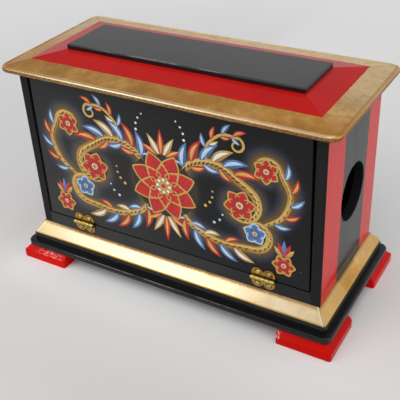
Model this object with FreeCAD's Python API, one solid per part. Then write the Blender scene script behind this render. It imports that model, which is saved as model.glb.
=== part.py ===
import FreeCAD, Part
import math
import os

# Lacquered cabinet with a drop front, a bevelled lifting lid and a turned figure on a coil spring.
# Millimetres. X runs along the width, -Y is the front, Z is up, the floor is z = 0.

# Cabinet
case_width = 300.0
case_depth = 123.2
case_height = 177.7
end_thickness = 9.0
back_thickness = 6.0
rail_thickness = 9.0
rail_height = 25.1
floor_thickness = 9.0
hole_diameter = 51.6
hole_centre_y = 2.0
hole_rise = 93.5
end_edge_round = 1.5
hole_edge_round = 0.6
rail_edge_round = 0.5

# Door
door_thickness = 9.0
door_foot_gap = 1.4
door_head_gap = 3.0
door_bottom_gap = 1.0
door_top_gap = 1.6
door_edge_round = 0.8
stop_width = 12.0
stop_depth = 8.0

# Lid
lid_overhang = 12.7
lid_thickness = 12.6
lid_edge_thickness = 5.6
lid_edge_roll = 2.7
lid_bevel_width = 45.7
lid_bead_width = 3.2
lid_bead_step = 0.5
lid_corner_radius = 11.0
plate_thickness = 4.5
plate_edge_round = 1.3

# Base
base_overhang = 15.8
base_step_overhang = 10.0
base_lip = 6.3
base_thickness = 13.0
base_corner_radius = 8.0
base_step_corner = 4.0
base_top_round = 2.0
base_step_round = 0.8
base_bottom_round = 2.0
moulding_height = 12.7
moulding_reach = 9.0
moulding_lip = 1.4
moulding_top_flat = 0.4
moulding_edge_round = 0.6
moulding_corner_radius = 3.5
foot_size = 52.0
foot_height = 13.2
foot_overhang = 19.0
foot_bevel = 6.0
foot_edge_round = 1.2
foot_corner_round = 2.2

# Brass hinges, one pattern for the door and for the lid
hinge_inset = 53.0
hinge_width = 22.8
leaf_reach = 10.2
leaf_thickness = 0.8
lobe_radius = 5.8
knuckle_radius = 2.0
knuckle_stand_off = 0.3
knuckle_gap = 0.2
knuckle_count = 5
hinge_pin_radius = 0.9
hinge_pin_play = 0.05
hinge_pin_end = 0.6

# Screws
hinge_screw_head = 2.4
hinge_screw_dome = 1.9
hinge_screw_flat = 0.5
hinge_screw_shank = 1.1
hinge_screw_spacing = 10.6
hinge_screw_reach = 6.0
door_screw_grip = 6.0
lid_screw_grip = 4.2
slot_width = 0.6
slot_depth = 0.7
wood_screw_head = 3.6
wood_screw_shank = 1.8
wood_screw_grip = 15.0
foot_screw_grip = 8.0
seat_screw_grip = 6.0
screw_clearance = 0.05

# Magnetic catches
magnet_radius = 3.0
magnet_length = 5.0
strike_radius = 3.6
strike_thickness = 1.5
catch_clearance = 0.05
door_catch_drop = 18.0
door_catch_margin = 1.6
lid_catch_setback = 16.0

# Spring and its seat
wire_diameter = 2.5
spring_mean_radius = 26.0
spring_turns = 7
spring_end_closing = 0.45
spring_end_gap = 0.4
seat_radius = 34.0
seat_thickness = 5.0
plug_height = 6.0
plug_clearance = 0.6
seat_screw_circle = 15.0

# Figure
torso_height = 34.0
torso_flange = 4.0
torso_waist_radius = 27.0
torso_neck_radius = 14.0
ruff_radius = 30.0
ruff_thickness = 4.5
ruff_lobes = 12
ruff_lobe_depth = 3.0
neck_dowel_radius = 6.0
neck_dowel_length = 10.0
neck_dowel_clearance = 0.05
head_radius = 22.0
chin_drop = 20.0
nose_radius = 4.2
hat_rise = 8.0
hat_brim_radius = 22.5
hat_brim_height = 4.0
hat_height = 33.0
hat_tip_radius = 2.6
bobble_radius = 5.5
lid_to_bobble = 1.5

# Levels and faces that follow from the sizes above
V = FreeCAD.Vector
half_width = case_width / 2
half_depth = case_depth / 2
base_bottom = foot_height
case_bottom = base_bottom + base_thickness
case_top = case_bottom + case_height
floor_top = case_bottom + floor_thickness
rail_top = case_bottom + rail_height
inner_half = half_width - end_thickness
back_inner = half_depth - back_thickness
rail_inner = -half_depth + rail_thickness
door_inner = -half_depth + door_thickness
door_foot_half = inner_half - door_foot_gap
door_head_half = inner_half - door_head_gap
door_bottom = rail_top + door_bottom_gap
door_top = case_top - door_top_gap
hinge_offset = half_width - hinge_inset
hinge_stand = knuckle_radius + knuckle_stand_off
door_axis_y = -half_depth - hinge_stand
door_axis_z = rail_top + door_bottom_gap / 2
lid_axis_y = half_depth + hinge_stand
lid_axis_z = case_top - hinge_stand
lid_half_x = half_width + lid_overhang
lid_half_y = half_depth + lid_overhang
lid_top = case_top + lid_thickness
plate_half_x = lid_half_x - lid_bevel_width
plate_half_y = lid_half_y - lid_bevel_width
jack_y = (door_inner + back_inner) / 2
wire_radius = wire_diameter / 2
spring_outer = spring_mean_radius + wire_radius
plug_radius = spring_mean_radius - wire_radius - plug_clearance
seat_top = floor_top + seat_thickness
bobble_top = case_top - lid_to_bobble
bobble_z = bobble_top - bobble_radius
hat_top = bobble_z - bobble_radius + 1.0
hat_bottom = hat_top - hat_height
head_z = hat_bottom - hat_rise
ruff_top = head_z - chin_drop
torso_top = ruff_top - ruff_thickness
torso_bottom = torso_top - torso_height
spring_bottom = seat_top + spring_end_gap
spring_top = torso_bottom - spring_end_gap


def block(x0, x1, y0, y1, z0, z1):
    return Part.makeBox(x1 - x0, y1 - y0, z1 - z0, V(x0, y0, z0))


def rod(radius, start, end):
    return Part.makeCylinder(radius, start.distanceToPoint(end), start, end - start)


def ball(radius, centre):
    return Part.makeSphere(radius, centre)


def prism(points, rise):
    return Part.Face(Part.makePolygon(points + points[:1])).extrude(rise)


def edges_at_height(shape, z):
    found = []
    for edge in shape.Edges:
        box = edge.BoundBox
        if abs(box.ZMin - z) < 1e-4 and abs(box.ZMax - z) < 1e-4:
            found.append(edge)
    return found


def upright_edges(shape):
    found = []
    for edge in shape.Edges:
        box = edge.BoundBox
        if box.XLength < 1e-4 and box.YLength < 1e-4:
            found.append(edge)
    return found


def rounded_slab(half_x, half_y, z0, z1, corner):
    slab = block(-half_x, half_x, -half_y, half_y, z0, z1)
    return slab.makeFillet(corner, upright_edges(slab))


def turned(profile, y):
    """Solid of revolution about the upright line x = 0 from (radius, height) points."""
    points = [V(radius, y, height) for radius, height in profile]
    face = Part.Face(Part.makePolygon(points + points[:1]))
    return face.revolve(V(0, y, 0), V(0, 0, 1), 360)


# Feet, base board and gilt moulding
def foot_centre(sx, sy):
    reach_x = half_width + foot_overhang - foot_size / 2
    reach_y = half_depth + foot_overhang - foot_size / 2
    return V(sx * reach_x, sy * reach_y, 0)


def wood_screw(seat, direction, grip):
    """Countersunk screw with its flat head at seat, pointing along direction."""
    head_depth = wood_screw_head - wood_screw_shank
    neck = seat + direction * head_depth
    head = Part.makeCone(wood_screw_head, wood_screw_shank, head_depth, seat, direction)
    shank = rod(wood_screw_shank, neck, seat + direction * grip)
    slot = rod(wood_screw_head * 0.5, seat, seat + direction * slot_depth)
    across = V(slot_width, 2 * wood_screw_head, slot_depth)
    corner = seat - V(across.x / 2, across.y / 2, 0)
    if direction.z < 0:
        corner = corner - V(0, 0, across.z)
    bar = Part.makeBox(across.x, across.y, across.z, corner)
    return head.fuse(shank).cut(slot.common(bar))


def wood_screw_hole(seat, direction, grip):
    head_depth = wood_screw_head - wood_screw_shank
    extra = screw_clearance
    neck = seat + direction * head_depth
    head = Part.makeCone(wood_screw_head + extra, wood_screw_shank + extra, head_depth, seat, direction)
    return head.fuse(rod(wood_screw_shank + extra, neck, seat + direction * (grip + 0.5)))


corners = {"front_left": (-1, -1), "front_right": (1, -1), "rear_left": (-1, 1), "rear_right": (1, 1)}
up = V(0, 0, 1)
down = V(0, 0, -1)
foot_seats = {name: foot_centre(sx, sy) for name, (sx, sy) in corners.items()}
foot_grip = foot_height + foot_screw_grip
base_grip = base_thickness + wood_screw_grip
end_mid = half_width - end_thickness / 2
rail_mid = (-half_depth + rail_inner) / 2
base_seats = []
for sx in (-1, 1):
    for sy in (-1, 1):
        base_seats.append(V(sx * end_mid, sy * case_depth / 4, base_bottom))
    base_seats.append(V(sx * case_width / 6, rail_mid, base_bottom))


def foot(name):
    sx, sy = corners[name]
    centre = foot_seats[name]
    half = foot_size / 2
    x0, x1 = centre.x - half, centre.x + half
    y0, y1 = centre.y - half, centre.y + half
    body = block(x0, x1, y0, y1, 0, foot_height)
    body = body.makeFillet(foot_corner_round, upright_edges(body))
    step = foot_height - foot_bevel
    outer_x = centre.x + sx * half
    outer_y = centre.y + sy * half
    side = [V(outer_x, y0 - 1, step), V(outer_x, y0 - 1, foot_height + 1),
            V(outer_x - sx * (foot_bevel + 1), y0 - 1, foot_height + 1)]
    front = [V(x0 - 1, outer_y, step), V(x0 - 1, outer_y, foot_height + 1),
             V(x0 - 1, outer_y - sy * (foot_bevel + 1), foot_height + 1)]
    body = body.cut(prism(side, V(0, foot_size + 2, 0)))
    body = body.cut(prism(front, V(foot_size + 2, 0, 0)))
    brow = []
    for edge in edges_at_height(body, step):
        mid = edge.CenterOfMass
        if abs(mid.x - outer_x) < foot_corner_round or abs(mid.y - outer_y) < foot_corner_round:
            brow.append(edge)
    body = body.makeFillet(foot_edge_round, brow)
    return body.cut(wood_screw_hole(centre, up, foot_grip))


def base_board():
    """Board with a step along its top edge: a thin rounded lip, then a riser under the moulding."""
    half_x = half_width + base_overhang
    half_y = half_depth + base_overhang
    step_x = half_width + base_step_overhang
    step_y = half_depth + base_step_overhang
    ledge = base_bottom + base_lip
    board = rounded_slab(half_x, half_y, base_bottom, ledge, base_corner_radius)
    board = board.makeFillet(base_top_round, edges_at_height(board, ledge))
    board = board.makeFillet(base_bottom_round, edges_at_height(board, base_bottom))
    step = rounded_slab(step_x, step_y, ledge, case_bottom, base_step_corner)
    step = step.makeFillet(base_step_round, edges_at_height(step, case_bottom))
    board = board.fuse(step).removeSplitter()
    for centre in foot_seats.values():
        board = board.cut(wood_screw_hole(centre, up, foot_grip))
    for seat in base_seats:
        board = board.cut(wood_screw_hole(seat, up, base_grip))
    return board


def moulding(side):
    """One mitred length of the gilt moulding; its back stands against the cabinet wall."""
    long_half = half_width if side in ("front", "rear") else half_depth
    wall = half_depth if side in ("front", "rear") else half_width
    reach = moulding_reach
    far = long_half + reach
    top = case_bottom + moulding_height
    lip = case_bottom + moulding_lip
    section = [V(-far, -wall, case_bottom), V(-far, -wall - reach, case_bottom), V(-far, -wall - reach, lip),
               V(-far, -wall - moulding_top_flat, top), V(-far, -wall, top)]
    strip = prism(section, V(2 * far, 0, 0))
    nose = []
    for edge in strip.Edges:
        mid = edge.CenterOfMass
        if edge.BoundBox.XLength > far and abs(mid.y + wall + reach) < 1e-4:
            nose.append(edge)
    strip = strip.makeFillet(moulding_edge_round, nose)
    plan = [V(-long_half, -wall, case_bottom), V(long_half, -wall, case_bottom),
            V(far, -wall - reach, case_bottom), V(-far, -wall - reach, case_bottom)]
    strip = strip.common(prism(plan, V(0, 0, moulding_height)))
    strip.rotate(V(0, 0, 0), up, {"front": 0, "right": 90, "rear": 180, "left": -90}[side])
    outline = rounded_slab(half_width + reach, half_depth + reach, case_bottom, top, moulding_corner_radius)
    return strip.common(outline)


# Brass hinges. The pin axis is the local X axis, the leaf rises along local Z,
# and the wood lies behind it at y = hinge_stand.
def hinge_leaf(first):
    """Leaf with two round lobes; first picks which of the alternating knuckles it carries."""
    half = hinge_width / 2
    front = hinge_stand - leaf_thickness
    foot_line = knuckle_radius + knuckle_stand_off
    lobe_z = leaf_reach - lobe_radius
    lobe_x = half - lobe_radius
    leaf = block(-half, half, front, hinge_stand, foot_line, lobe_z)
    for side in (-1, 1):
        leaf = leaf.fuse(rod(lobe_radius, V(side * lobe_x, front, lobe_z), V(side * lobe_x, hinge_stand, lobe_z)))
    leaf = leaf.common(block(-half, half, front, hinge_stand, foot_line, leaf_reach))
    step = hinge_width / knuckle_count
    for index in range(first, knuckle_count, 2):
        x0 = -half + index * step + knuckle_gap / 2
        x1 = x0 + step - knuckle_gap
        leaf = leaf.fuse(rod(knuckle_radius, V(x0, 0, 0), V(x1, 0, 0)))
        leaf = leaf.fuse(block(x0, x1, front, hinge_stand, 0, foot_line + 0.1))
    bore = hinge_pin_radius + hinge_pin_play
    leaf = leaf.cut(rod(bore, V(-half - 1, 0, 0), V(half + 1, 0, 0)))
    for x in (-hinge_screw_spacing / 2, hinge_screw_spacing / 2):
        spot = V(x, front - 1, hinge_screw_reach)
        leaf = leaf.cut(rod(hinge_screw_shank + screw_clearance, spot, spot + V(0, leaf_thickness + 2, 0)))
    return leaf.removeSplitter()


def hinge_pin():
    reach = hinge_width / 2 + hinge_pin_end
    return rod(hinge_pin_radius, V(-reach, 0, 0), V(reach, 0, 0))


def hinge_screws(dome, grip):
    """The two screws of a leaf: a domed slotted head over a straight shank."""
    screws = []
    front = hinge_stand - leaf_thickness
    curve = (hinge_screw_head ** 2 + dome ** 2) / (2 * dome)
    for x in (-hinge_screw_spacing / 2, hinge_screw_spacing / 2):
        z = hinge_screw_reach
        head = ball(curve, V(x, front + curve - dome, z))
        head = head.common(rod(hinge_screw_head, V(x, front - dome - 1, z), V(x, front, z)))
        cut_depth = min(slot_depth, dome * 0.6)
        cut = block(x - slot_width / 2, x + slot_width / 2, front - dome - 1, front - dome + cut_depth, z - 4, z + 4)
        shank = rod(hinge_screw_shank, V(x, front, z), V(x, hinge_stand + grip, z))
        screws.append(head.cut(cut).fuse(shank))
    return Part.makeCompound(screws)


def pilot_holes(grip):
    holes = []
    for x in (-hinge_screw_spacing / 2, hinge_screw_spacing / 2):
        start = V(x, hinge_stand - 0.5, hinge_screw_reach)
        end = V(x, hinge_stand + grip + 0.3, hinge_screw_reach)
        holes.append(rod(hinge_screw_shank + screw_clearance, start, end))
    return Part.makeCompound(holes)


def at(shape, x, y, z, turn_axis, turn):
    """Copy of a hinge piece placed on its axis point and turned to its surface."""
    placed = shape.copy()
    placed.Placement = FreeCAD.Placement(V(x, y, z), FreeCAD.Rotation(turn_axis, turn))
    return placed


def on_door(shape, side):
    return at(shape, side * hinge_offset, door_axis_y, door_axis_z, V(0, 1, 0), 0)


def on_rail(shape, side):
    return at(shape, side * hinge_offset, door_axis_y, door_axis_z, V(0, 1, 0), 180)


def on_back(shape, side):
    return at(shape, side * hinge_offset, lid_axis_y, lid_axis_z, V(1, 0, 0), 180)


def on_lid(shape, side):
    return at(shape, side * hinge_offset, lid_axis_y, lid_axis_z, V(0, 1, 1), 180)


def pair(place, shape):
    solids = []
    for side in (-1, 1):
        solids += place(shape, side).Solids
    return Part.makeCompound(solids)


# Magnetic catches: a magnet in the fixed piece faces a steel strike in the moving one
door_catch_z = door_top - door_catch_drop
door_catch_x = door_head_half - strike_radius - door_catch_margin
lid_catch_x = half_width - end_thickness / 2
lid_catch_y = -half_depth + lid_catch_setback


def catch_discs(radius, length, clearance, spots, direction):
    discs = []
    for spot in spots:
        discs.append(rod(radius + clearance, spot, spot + direction * length))
    return Part.makeCompound(discs)


door_catch_spots = [V(sx * door_catch_x, door_inner, door_catch_z) for sx in (-1, 1)]
lid_catch_spots = [V(sx * lid_catch_x, lid_catch_y, case_top) for sx in (-1, 1)]
backward = V(0, 1, 0)
forward = V(0, -1, 0)


# Cabinet boards
def end_board(side):
    x0, x1 = sorted((side * half_width, side * inner_half))
    board = block(x0, x1, -half_depth, half_depth, case_bottom, case_top)
    outer = side * half_width
    corners_out = [edge for edge in upright_edges(board) if abs(edge.CenterOfMass.x - outer) < 1e-4]
    board = board.makeFillet(end_edge_round, corners_out)
    hole_z = case_bottom + hole_rise
    board = board.cut(rod(hole_diameter / 2, V(x0 - 1, hole_centre_y, hole_z), V(x1 + 1, hole_centre_y, hole_z)))
    rims = [edge for edge in board.Edges if isinstance(edge.Curve, Part.Circle) and edge.BoundBox.ZLength > hole_diameter / 2]
    board = board.makeFillet(hole_edge_round, rims)
    board = board.cut(catch_discs(magnet_radius, magnet_length, catch_clearance, lid_catch_spots, down))
    for seat in base_seats:
        board = board.cut(wood_screw_hole(seat, up, base_grip))
    return board


def back_panel():
    panel = block(-inner_half, inner_half, back_inner, half_depth, case_bottom, case_top)
    return panel.cut(pair(on_back, pilot_holes(lid_screw_grip)))


def bottom_rail():
    rail = block(-inner_half, inner_half, -half_depth, rail_inner, case_bottom, rail_top)
    brow = [edge for edge in edges_at_height(rail, rail_top) if abs(edge.CenterOfMass.y + half_depth) < 1e-4]
    rail = rail.makeFillet(rail_edge_round, brow)
    for seat in base_seats:
        rail = rail.cut(wood_screw_hole(seat, up, base_grip))
    return rail.cut(pair(on_rail, pilot_holes(door_screw_grip)))


def floor_panel():
    panel = block(-inner_half, inner_half, rail_inner, back_inner, case_bottom, floor_top)
    for seat in seat_screw_seats:
        panel = panel.cut(wood_screw_hole(seat, down, seat_grip))
    return panel


def door_stop(side):
    x0, x1 = sorted((side * inner_half, side * (inner_half - stop_width)))
    stop = block(x0, x1, door_inner, door_inner + stop_depth, floor_top, door_top)
    return stop.cut(catch_discs(magnet_radius, magnet_length, catch_clearance, door_catch_spots, backward))


def door_panel():
    outline = [V(-door_foot_half, -half_depth, door_bottom), V(door_foot_half, -half_depth, door_bottom),
               V(door_head_half, -half_depth, door_top), V(-door_head_half, -half_depth, door_top)]
    panel = prism(outline, V(0, door_thickness, 0))
    face_edges = [edge for edge in panel.Edges if abs(edge.BoundBox.YMax + half_depth) < 1e-4]
    panel = panel.makeFillet(door_edge_round, face_edges)
    panel = panel.cut(catch_discs(strike_radius, strike_thickness, catch_clearance, door_catch_spots, forward))
    return panel.cut(pair(on_door, pilot_holes(door_screw_grip)))


# Lid
def lid_board():
    slab = rounded_slab(lid_half_x, lid_half_y, case_top, case_top + lid_edge_thickness, lid_corner_radius)
    slab = slab.makeFillet(lid_edge_roll, edges_at_height(slab, case_top + lid_edge_thickness))
    slab = slab.makeFillet(lid_edge_roll, edges_at_height(slab, case_top))
    foot_x = lid_half_x - lid_bead_width
    foot_y = lid_half_y - lid_bead_width
    inner_corner = lid_corner_radius - lid_bead_width
    brow = case_top + lid_edge_thickness - lid_bead_step
    slab = slab.cut(rounded_slab(foot_x, foot_y, brow, lid_top, inner_corner))
    levels = []
    for half_x, half_y, z in ((foot_x, foot_y, brow), (plate_half_x, plate_half_y, lid_top)):
        points = [V(-half_x, -half_y, z), V(half_x, -half_y, z), V(half_x, half_y, z), V(-half_x, half_y, z)]
        levels.append(Part.makePolygon(points + points[:1]))
    hip = Part.makeLoft(levels, True, True)
    board = slab.fuse(hip.common(rounded_slab(foot_x, foot_y, brow, lid_top, inner_corner))).removeSplitter()
    board = board.cut(catch_discs(strike_radius, strike_thickness, catch_clearance, lid_catch_spots, up))
    return board.cut(pair(on_lid, pilot_holes(lid_screw_grip)))


def lid_plate():
    plate = rounded_slab(plate_half_x, plate_half_y, lid_top, lid_top + plate_thickness, plate_edge_round)
    return plate.makeFillet(plate_edge_round, edges_at_height(plate, lid_top + plate_thickness))


# Spring seat and spring
seat_grip = seat_thickness + plug_height + seat_screw_grip
seat_screw_seats = []
for index in range(3):
    angle = math.radians(90 + 120 * index)
    x = seat_screw_circle * math.cos(angle)
    y = jack_y + seat_screw_circle * math.sin(angle)
    seat_screw_seats.append(V(x, y, seat_top + plug_height))


def spring_seat():
    seat = turned([(0, floor_top), (seat_radius, floor_top), (seat_radius, seat_top), (plug_radius, seat_top),
                   (plug_radius, seat_top + plug_height), (0, seat_top + plug_height)], jack_y)
    for spot in seat_screw_seats:
        seat = seat.cut(wood_screw_hole(spot, down, seat_grip))
    return seat


def spring_point(u):
    """Centre of the wire at u = 0 to 1; the coils close up towards both ends."""
    angle = 2 * math.pi * spring_turns * u
    travel = spring_top - spring_bottom - wire_diameter
    rise = u - spring_end_closing * math.sin(2 * math.pi * u) / (2 * math.pi)
    x = spring_mean_radius * math.cos(angle)
    y = jack_y + spring_mean_radius * math.sin(angle)
    return V(x, y, spring_bottom + wire_radius + travel * rise)


def spring_heading(u):
    step = 1e-5
    heading = spring_point(u + step) - spring_point(u - step)
    return heading.normalize()


def arc_from(start, heading, end):
    """Circular arc leaving start along heading and reaching end."""
    chord = end - start
    aside = chord - heading * chord.dot(heading)
    radius = chord.dot(chord) / (2 * aside.Length)
    centre = start + aside.normalize() * radius
    middle = (start - centre) + (end - centre)
    return Part.Arc(start, centre + middle.normalize() * radius, end)


def biarc(start, heading, end, end_heading):
    """Two tangent arcs between two points of the wire."""
    chord = end - start
    both = heading + end_heading
    spread = 2 * (1 - heading.dot(end_heading))
    reach = (math.sqrt(chord.dot(both) ** 2 + spread * chord.dot(chord)) - chord.dot(both)) / spread
    joint = (start + end + (heading - end_heading) * reach) * 0.5
    joint_heading = (chord - both * reach).normalize()
    return [arc_from(start, heading, joint), arc_from(joint, joint_heading, end)]


def spring():
    count = spring_turns * 4
    knots = [spring_point(index / count) for index in range(count + 1)]
    headings = [spring_heading(index / count) for index in range(count + 1)]
    lead_in = knots[0] - headings[0] * wire_diameter
    lead_out = knots[-1] + headings[-1] * wire_diameter
    edges = [Part.makeLine(lead_in, knots[0])]
    for index in range(count):
        for arc in biarc(knots[index], headings[index], knots[index + 1], headings[index + 1]):
            edges.append(arc.toShape())
    edges.append(Part.makeLine(knots[-1], lead_out))
    section = Part.Wire(Part.makeCircle(wire_radius, lead_in, headings[0]))
    pipe = Part.BRepOffsetAPI.MakePipeShell(Part.Wire(edges))
    pipe.add(section)
    pipe.build()
    pipe.makeSolid()
    return pipe.shape()


def spring_self_gap():
    samples = 40 * spring_turns
    points = [spring_point(index / samples) for index in range(samples + 1)]
    least = case_height
    for first in range(samples + 1):
        for second in range(first + 20, samples + 1):
            least = min(least, points[first].distanceToPoint(points[second]))
    return least - wire_diameter


# Figure
def jack_torso():
    flange_radius = spring_outer + 3.0
    profile = [(0, torso_bottom - plug_height), (plug_radius, torso_bottom - plug_height),
               (plug_radius, torso_bottom), (flange_radius, torso_bottom),
               (flange_radius, torso_bottom + torso_flange)]
    steps = 16
    rise = torso_height - torso_flange
    for index in range(steps + 1):
        t = index / steps
        radius = torso_neck_radius + (torso_waist_radius - torso_neck_radius) * (1 - t) ** 1.6
        profile.append((radius, torso_bottom + torso_flange + rise * t))
    profile.append((0, torso_top))
    torso = turned(profile, jack_y)
    socket = neck_dowel_radius + neck_dowel_clearance
    return torso.cut(rod(socket, V(0, jack_y, torso_top - neck_dowel_length), V(0, jack_y, torso_top + 1)))


def jack_ruff():
    """Flat collar with a scalloped rim."""
    arcs = []
    pitch = 2 * math.pi / ruff_lobes
    valley = ruff_radius - ruff_lobe_depth
    for index in range(ruff_lobes):
        marks = []
        for radius, part in ((valley, 0.0), (ruff_radius, 0.5), (valley, 1.0)):
            angle = (index + part) * pitch
            marks.append(V(radius * math.cos(angle), jack_y + radius * math.sin(angle), torso_top))
        arcs.append(Part.Arc(*marks).toShape())
    ruff = Part.Face(Part.Wire(arcs)).extrude(V(0, 0, ruff_thickness))
    bore = neck_dowel_radius + neck_dowel_clearance
    return ruff.cut(rod(bore, V(0, jack_y, torso_top - 1), V(0, jack_y, ruff_top + 1)))


def jack_head():
    centre = V(0, jack_y, head_z)
    skull = ball(head_radius, centre)
    skull = skull.common(block(-50, 50, jack_y - 50, jack_y + 50, ruff_top, head_z + 50))
    dowel_end = torso_top - neck_dowel_length + 0.5
    return skull.fuse(rod(neck_dowel_radius, V(0, jack_y, dowel_end), V(0, jack_y, head_z)))


def jack_nose():
    nose = ball(nose_radius, V(0, jack_y - head_radius - 1.2, head_z))
    return nose.cut(ball(head_radius, V(0, jack_y, head_z)))


def jack_hat():
    hat = turned([(0, hat_bottom), (hat_brim_radius, hat_bottom), (hat_brim_radius, hat_bottom + hat_brim_height),
                  (hat_brim_radius - 3.0, hat_bottom + hat_brim_height), (hat_tip_radius, hat_top),
                  (0, hat_top)], jack_y)
    return hat.cut(ball(head_radius, V(0, jack_y, head_z)))


def hat_bobble():
    bead = ball(bobble_radius, V(0, jack_y, bobble_z))
    return bead.cut(block(-10, 10, jack_y - 10, jack_y + 10, hat_top - 10, hat_top))


parts = {}
for name in corners:
    parts["foot_" + name] = foot(name)
parts["foot_screws"] = Part.makeCompound([wood_screw(seat, up, foot_grip) for seat in foot_seats.values()])
parts["base_board"] = base_board()
parts["base_screws"] = Part.makeCompound([wood_screw(seat, up, base_grip) for seat in base_seats])
for side in ("front", "rear", "left", "right"):
    parts["base_moulding_" + side] = moulding(side)
parts["end_board_left"] = end_board(-1)
parts["end_board_right"] = end_board(1)
parts["back_panel"] = back_panel()
parts["bottom_rail"] = bottom_rail()
parts["floor_panel"] = floor_panel()
parts["door_stop_left"] = door_stop(-1)
parts["door_stop_right"] = door_stop(1)
parts["door_magnets"] = catch_discs(magnet_radius, magnet_length, 0, door_catch_spots, backward)
parts["lid_magnets"] = catch_discs(magnet_radius, magnet_length, 0, lid_catch_spots, down)
parts["door_panel"] = door_panel()
parts["door_strikes"] = catch_discs(strike_radius, strike_thickness, 0, door_catch_spots, forward)
parts["lid_board"] = lid_board()
parts["lid_plate"] = lid_plate()
parts["lid_strikes"] = catch_discs(strike_radius, strike_thickness, 0, lid_catch_spots, up)
for name, sign in (("left", -1), ("right", 1)):
    parts["rail_leaf_" + name] = on_rail(hinge_leaf(0), sign)
    parts["door_leaf_" + name] = on_door(hinge_leaf(1), sign)
    parts["door_hinge_pin_" + name] = on_door(hinge_pin(), sign)
    parts["back_leaf_" + name] = on_back(hinge_leaf(0), sign)
    parts["lid_leaf_" + name] = on_lid(hinge_leaf(1), sign)
    parts["lid_hinge_pin_" + name] = on_back(hinge_pin(), sign)
parts["rail_leaf_screws"] = pair(on_rail, hinge_screws(hinge_screw_dome, door_screw_grip))
parts["door_leaf_screws"] = pair(on_door, hinge_screws(hinge_screw_dome, door_screw_grip))
parts["back_leaf_screws"] = pair(on_back, hinge_screws(hinge_screw_flat, lid_screw_grip))
parts["lid_leaf_screws"] = pair(on_lid, hinge_screws(hinge_screw_flat, lid_screw_grip))
parts["spring_seat"] = spring_seat()
parts["seat_screws"] = Part.makeCompound([wood_screw(seat, down, seat_grip) for seat in seat_screw_seats])
parts["jack_spring"] = spring()
parts["jack_torso"] = jack_torso()
parts["jack_ruff"] = jack_ruff()
parts["jack_head"] = jack_head()
parts["jack_nose"] = jack_nose()
parts["jack_hat"] = jack_hat()
parts["hat_bobble"] = hat_bobble()

os.makedirs("parts", exist_ok=True)
for name, shape in parts.items():
    shape.exportStep("parts/" + name + ".step")
print("least gap of the spring to itself", round(spring_self_gap(), 2), "mm")
print("pieces", len(parts))
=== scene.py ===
import math
import bpy
import numpy as np
from mathutils import Matrix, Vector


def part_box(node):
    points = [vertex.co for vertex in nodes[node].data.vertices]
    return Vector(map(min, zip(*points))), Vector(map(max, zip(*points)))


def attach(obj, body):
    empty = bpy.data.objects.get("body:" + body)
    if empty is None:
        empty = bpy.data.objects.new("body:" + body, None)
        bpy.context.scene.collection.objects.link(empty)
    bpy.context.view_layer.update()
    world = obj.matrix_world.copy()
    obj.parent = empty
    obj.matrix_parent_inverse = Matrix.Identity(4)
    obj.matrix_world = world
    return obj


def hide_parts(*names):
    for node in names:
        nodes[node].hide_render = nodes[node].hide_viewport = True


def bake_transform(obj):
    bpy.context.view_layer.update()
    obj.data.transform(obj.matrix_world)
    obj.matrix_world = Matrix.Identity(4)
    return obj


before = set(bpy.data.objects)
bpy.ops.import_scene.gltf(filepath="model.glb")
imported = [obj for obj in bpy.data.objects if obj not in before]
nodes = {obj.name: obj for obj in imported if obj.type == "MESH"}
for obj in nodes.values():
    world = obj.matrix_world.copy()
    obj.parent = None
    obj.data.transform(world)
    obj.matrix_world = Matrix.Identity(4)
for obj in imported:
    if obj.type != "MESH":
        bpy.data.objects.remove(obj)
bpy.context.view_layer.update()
MM = 0.001


# Node helpers: each returns the output socket of one new node, or of a short chain of them.
def tree_of(name):
    """A new material: its node tree, its shader linked to an output, and its object coordinates."""
    material = bpy.data.materials.new(name)
    material.use_nodes = True
    tree = material.node_tree
    tree.nodes.clear()
    shader = tree.nodes.new("ShaderNodeBsdfPrincipled")
    out = tree.nodes.new("ShaderNodeOutputMaterial")
    tree.links.new(shader.outputs[0], out.inputs[0])
    return material, tree, shader, place(tree)


def reopened(material):
    """The tree, shader, present base colour and object coordinates of a finished material."""
    tree = material.node_tree
    shader = next(n for n in tree.nodes if n.type == "BSDF_PRINCIPLED")
    under = shader.inputs["Base Color"].links[0].from_socket
    return tree, shader, under, place(tree)


def feed(tree, socket, value):
    """Links a socket or sets a plain value."""
    if isinstance(value, bpy.types.NodeSocket):
        tree.links.new(value, socket)
    elif socket.type == "RGBA" and len(value) == 3:
        socket.default_value = (*value, 1.0)
    else:
        socket.default_value = value


def place(tree):
    """Object coordinates in metres."""
    return tree.nodes.new("ShaderNodeTexCoord").outputs["Object"]


def stretched(tree, vector, scale):
    """The vector with each axis scaled."""
    node = tree.nodes.new("ShaderNodeMapping")
    feed(tree, node.inputs["Vector"], vector)
    node.inputs["Scale"].default_value = scale
    return node.outputs[0]


def noise(tree, vector, scale, detail=3.0, rough=0.55, warp=0.0):
    node = tree.nodes.new("ShaderNodeTexNoise")
    feed(tree, node.inputs["Vector"], vector)
    node.inputs["Scale"].default_value = scale
    node.inputs["Detail"].default_value = detail
    node.inputs["Roughness"].default_value = rough
    node.inputs["Distortion"].default_value = warp
    return node.outputs["Fac"]


def calc(tree, operation, a, b=0.0, clamp=False):
    node = tree.nodes.new("ShaderNodeMath")
    node.operation = operation
    node.use_clamp = clamp
    feed(tree, node.inputs[0], a)
    feed(tree, node.inputs[1], b)
    return node.outputs[0]


def plus(tree, a, b, clamp=False):
    return calc(tree, "ADD", a, b, clamp)


def minus(tree, a, b, clamp=False):
    return calc(tree, "SUBTRACT", a, b, clamp)


def times(tree, value, *others):
    for other in others:
        value = calc(tree, "MULTIPLY", value, other)
    return value


def largest(tree, value, *others):
    for other in others:
        value = calc(tree, "MAXIMUM", value, other)
    return value


def size_of(tree, value):
    """The value without its sign."""
    return calc(tree, "ABSOLUTE", value)


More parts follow.
